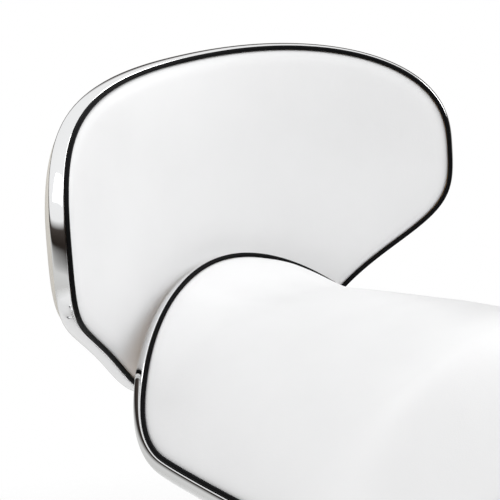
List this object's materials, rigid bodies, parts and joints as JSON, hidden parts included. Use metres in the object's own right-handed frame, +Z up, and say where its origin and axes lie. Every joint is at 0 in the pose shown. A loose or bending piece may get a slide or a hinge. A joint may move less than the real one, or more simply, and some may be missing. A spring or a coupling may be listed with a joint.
{
  "type": "drafting chair",
  "caption": "Swivel drafting chair with a domed saddle seat, a low wrapped back, a gas lift, a foot ring and a star base on casters.",
  "frame": {"origin": "floor under the middle of the chair's bounding box; the gas column stands 11.65 mm behind it", "axes": "+Z up, the sitter faces -Y, +X is the side of the height lever"},
  "size_m": [0.6176, 0.6048, 0.8199],
  "materials": {
    "chrome": "polished",
    "steel": "satin",
    "black_paint": "satin",
    "black_plastic": "matte",
    "wheel_plastic": "satin",
    "rubber": "matte",
    "plywood": "matte",
    "upholstery": "satin",
    "piping": "satin",
    "back_panel": "matte"
  },
  "bodies": {
    "base": {"base_hub": "chrome", "outer_tube": "chrome", "tube_bush": "black_plastic", "tube_cap": "black_plastic", "thrust_bearing": "steel", "bumper": "rubber", "leg_1": "chrome", "leg_2": "chrome", "leg_3": "chrome", "leg_4": "chrome", "leg_5": "chrome"},
    "rod": {"piston_rod": "steel", "rod_clip": "steel"},
    "seat": {"gas_cylinder": "chrome", "mechanism_housing": "black_paint", "mechanism_plate": "black_paint", "plate_bolts": "steel", "back_bar": "black_paint", "bar_bolts": "steel", "seat_pan": "plywood", "seat_rim": "chrome", "seat_piping": "piping", "seat_cushion": "upholstery", "seat_under_cover": "black_plastic", "back_shell": "plywood", "back_rim": "chrome", "back_piping": "piping", "back_cushion": "upholstery", "back_cover": "back_panel", "back_bolts": "steel"},
    "lever": {"lever_rod": "steel", "lever_grip": "black_plastic"},
    "release_pin": {"release_pin": "steel"},
    "foot_ring": {"foot_ring": "chrome", "foot_ring_spider": "chrome", "foot_ring_bush": "black_plastic"},
    "clamp_knob": {"clamp_knob": "black_plastic", "clamp_stud": "steel"},
    "caster_1": {"caster_stem_1": "steel", "caster_housing_1": "black_plastic"},
    "wheel_left_1": {"caster_wheel_left_1": "wheel_plastic"},
    "wheel_right_1": {"caster_wheel_right_1": "wheel_plastic"},
    "caster_2": {"caster_stem_2": "steel", "caster_housing_2": "black_plastic"},
    "wheel_left_2": {"caster_wheel_left_2": "wheel_plastic"},
    "wheel_right_2": {"caster_wheel_right_2": "wheel_plastic"},
    "caster_3": {"caster_stem_3": "steel", "caster_housing_3": "black_plastic"},
    "wheel_left_3": {"caster_wheel_left_3": "wheel_plastic"},
    "wheel_right_3": {"caster_wheel_right_3": "wheel_plastic"},
    "caster_4": {"caster_stem_4": "steel", "caster_housing_4": "black_plastic"},
    "wheel_left_4": {"caster_wheel_left_4": "wheel_plastic"},
    "wheel_right_4": {"caster_wheel_right_4": "wheel_plastic"},
    "caster_5": {"caster_stem_5": "steel", "caster_housing_5": "black_plastic"},
    "wheel_left_5": {"caster_wheel_left_5": "wheel_plastic"},
    "wheel_right_5": {"caster_wheel_right_5": "wheel_plastic"}
  },
  "joints": [
    {"name": "seat_swivel", "type": "hinge", "parent": "base", "child": "rod", "pos_m": [0, 0.01165, 0.06], "axis": [0, 0, 1], "continuous": true},
    {"name": "seat_lift", "type": "slide", "parent": "rod", "child": "seat", "axis": [0, 0, 1], "range_m": [0, 0.2]},
    {"name": "height_lever", "type": "hinge", "parent": "seat", "child": "lever", "pos_m": [0.052, 0.01165, 0.502], "axis": [0, -1, 0], "range_deg": [0, 5]},
    {"name": "release_pin_press", "type": "slide", "parent": "seat", "child": "release_pin", "axis": [0, 0, -1], "range_m": [0, 0.0046]},
    {"name": "foot_ring_height", "type": "slide", "parent": "base", "child": "foot_ring", "axis": [0, 0, 1], "range_m": [-0.06, 0.1]},
    {"name": "clamp_turn", "type": "hinge", "parent": "foot_ring", "child": "clamp_knob", "pos_m": [0.05, 0.01165, 0.24], "axis": [1, 0, 0], "range_deg": [-180, 0]},
    {"name": "caster_swivel_1", "type": "hinge", "parent": "base", "child": "caster_1", "pos_m": [0, -0.28835, 0.07], "axis": [0, 0, 1], "continuous": true},
    {"name": "wheel_roll_left_1", "type": "hinge", "parent": "caster_1", "child": "wheel_left_1", "pos_m": [-0.0125, -0.27035, 0.025], "axis": [1, 0, 0], "continuous": true},
    {"name": "wheel_roll_right_1", "type": "hinge", "parent": "caster_1", "child": "wheel_right_1", "pos_m": [0.0125, -0.27035, 0.025], "axis": [1, 0, 0], "continuous": true},
    {"name": "caster_swivel_2", "type": "hinge", "parent": "base", "child": "caster_2", "pos_m": [0.28532, -0.08106, 0.07], "axis": [0, 0, 1], "continuous": true},
    {"name": "wheel_roll_left_2", "type": "hinge", "parent": "caster_2", "child": "wheel_left_2", "pos_m": [0.27282, -0.06306, 0.025], "axis": [1, 0, 0], "continuous": true},
    {"name": "wheel_roll_right_2", "type": "hinge", "parent": "caster_2", "child": "wheel_right_2", "pos_m": [0.29782, -0.06306, 0.025], "axis": [1, 0, 0], "continuous": true},
    {"name": "caster_swivel_3", "type": "hinge", "parent": "base", "child": "caster_3", "pos_m": [0.17634, 0.25436, 0.07], "axis": [0, 0, 1], "continuous": true},
    {"name": "wheel_roll_left_3", "type": "hinge", "parent": "caster_3", "child": "wheel_left_3", "pos_m": [0.16384, 0.27236, 0.025], "axis": [1, 0, 0], "continuous": true},
    {"name": "wheel_roll_right_3", "type": "hinge", "parent": "caster_3", "child": "wheel_right_3", "pos_m": [0.18884, 0.27236, 0.025], "axis": [1, 0, 0], "continuous": true},
    {"name": "caster_swivel_4", "type": "hinge", "parent": "base", "child": "caster_4", "pos_m": [-0.17634, 0.25436, 0.07], "axis": [0, 0, 1], "continuous": true},
    {"name": "wheel_roll_left_4", "type": "hinge", "parent": "caster_4", "child": "wheel_left_4", "pos_m": [-0.18884, 0.27236, 0.025], "axis": [1, 0, 0], "continuous": true},
    {"name": "wheel_roll_right_4", "type": "hinge", "parent": "caster_4", "child": "wheel_right_4", "pos_m": [-0.16384, 0.27236, 0.025], "axis": [1, 0, 0], "continuous": true},
    {"name": "caster_swivel_5", "type": "hinge", "parent": "base", "child": "caster_5", "pos_m": [-0.28532, -0.08106, 0.07], "axis": [0, 0, 1], "continuous": true},
    {"name": "wheel_roll_left_5", "type": "hinge", "parent": "caster_5", "child": "wheel_left_5", "pos_m": [-0.29782, -0.06306, 0.025], "axis": [1, 0, 0], "continuous": true},
    {"name": "wheel_roll_right_5", "type": "hinge", "parent": "caster_5", "child": "wheel_right_5", "pos_m": [-0.27282, -0.06306, 0.025], "axis": [1, 0, 0], "continuous": true}
  ],
  "couplings": [
    {"joint": "release_pin_press", "follows": "height_lever", "m_per_rad": 0.052}
  ]
}
